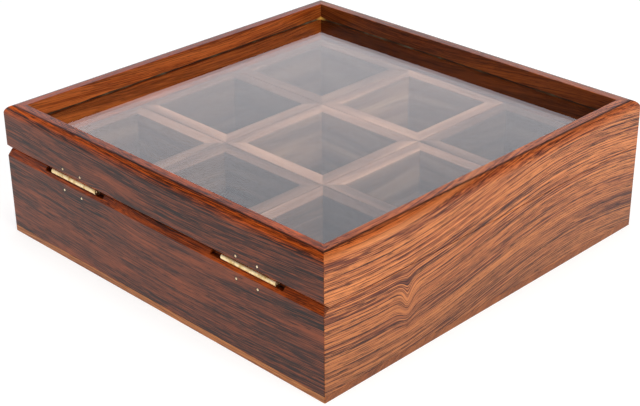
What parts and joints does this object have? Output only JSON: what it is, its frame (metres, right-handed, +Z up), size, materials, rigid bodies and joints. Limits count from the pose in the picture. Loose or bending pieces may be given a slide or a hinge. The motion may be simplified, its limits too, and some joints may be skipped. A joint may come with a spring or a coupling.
{
  "type": "spice box",
  "caption": "Square hinged hardwood box with a glass lid, let-in brass hinges, and loose square wooden cups that stand in a grid inside.",
  "frame": {"origin": "centre of the underside", "axes": "+Z up; the hinged back faces +Y, the front faces -Y, and +X is to the right seen from the front"},
  "size_m": [0.24, 0.24, 0.075],
  "materials": {
    "carcass_wood": "varnished rosewood",
    "cup_wood": "waxed rosewood",
    "panel_wood": "varnished rosewood",
    "glass": "clear float glass",
    "brass": "plain rolled brass",
    "putty": "dried glazing putty"
  },
  "bodies": {
    "base": {"back_wall": "carcass_wood", "front_wall": "carcass_wood", "left_wall": "carcass_wood", "right_wall": "carcass_wood", "bottom_panel": "panel_wood", "left_hinge_base_leaf": "brass", "left_hinge_pin": "brass", "left_hinge_base_nails": "brass", "right_hinge_base_leaf": "brass", "right_hinge_pin": "brass", "right_hinge_base_nails": "brass"},
    "lid": {"lid_back_rail": "carcass_wood", "lid_front_rail": "carcass_wood", "lid_left_rail": "carcass_wood", "lid_right_rail": "carcass_wood", "glass_pane": "glass", "glazing_putty": "putty", "left_hinge_lid_leaf": "brass", "left_hinge_lid_nails": "brass", "right_hinge_lid_leaf": "brass", "right_hinge_lid_nails": "brass"},
    "cup_1": {"cup_1_side_walls": "cup_wood", "cup_1_end_walls": "cup_wood", "cup_1_floor": "cup_wood"},
    "cup_2": {"cup_2_side_walls": "cup_wood", "cup_2_end_walls": "cup_wood", "cup_2_floor": "cup_wood"},
    "cup_3": {"cup_3_side_walls": "cup_wood", "cup_3_end_walls": "cup_wood", "cup_3_floor": "cup_wood"},
    "cup_4": {"cup_4_side_walls": "cup_wood", "cup_4_end_walls": "cup_wood", "cup_4_floor": "cup_wood"},
    "cup_5": {"cup_5_side_walls": "cup_wood", "cup_5_end_walls": "cup_wood", "cup_5_floor": "cup_wood"},
    "cup_6": {"cup_6_side_walls": "cup_wood", "cup_6_end_walls": "cup_wood", "cup_6_floor": "cup_wood"},
    "cup_7": {"cup_7_side_walls": "cup_wood", "cup_7_end_walls": "cup_wood", "cup_7_floor": "cup_wood"},
    "cup_8": {"cup_8_side_walls": "cup_wood", "cup_8_end_walls": "cup_wood", "cup_8_floor": "cup_wood"},
    "cup_9": {"cup_9_side_walls": "cup_wood", "cup_9_end_walls": "cup_wood", "cup_9_floor": "cup_wood"}
  },
  "joints": [
    {"name": "lid_hinge", "type": "hinge", "parent": "base", "child": "lid", "pos_m": [0, 0.1177, 0.0489], "axis": [-1, 0, 0], "range_deg": [0, 105]},
    {"name": "cup_1_lift", "type": "slide", "parent": "base", "child": "cup_1", "axis": [0, 0, 1], "range_m": [0, 0.0123]},
    {"name": "cup_2_lift", "type": "slide", "parent": "base", "child": "cup_2", "axis": [0, 0, 1], "range_m": [0, 0.0123]},
    {"name": "cup_3_lift", "type": "slide", "parent": "base", "child": "cup_3", "axis": [0, 0, 1], "range_m": [0, 0.0123]},
    {"name": "cup_4_lift", "type": "slide", "parent": "base", "child": "cup_4", "axis": [0, 0, 1], "range_m": [0, 0.0123]},
    {"name": "cup_5_lift", "type": "slide", "parent": "base", "child": "cup_5", "axis": [0, 0, 1], "range_m": [0, 0.0123]},
    {"name": "cup_6_lift", "type": "slide", "parent": "base", "child": "cup_6", "axis": [0, 0, 1], "range_m": [0, 0.0123]},
    {"name": "cup_7_lift", "type": "slide", "parent": "base", "child": "cup_7", "axis": [0, 0, 1], "range_m": [0, 0.0123]},
    {"name": "cup_8_lift", "type": "slide", "parent": "base", "child": "cup_8", "axis": [0, 0, 1], "range_m": [0, 0.0123]},
    {"name": "cup_9_lift", "type": "slide", "parent": "base", "child": "cup_9", "axis": [0, 0, 1], "range_m": [0, 0.0123]}
  ]
}
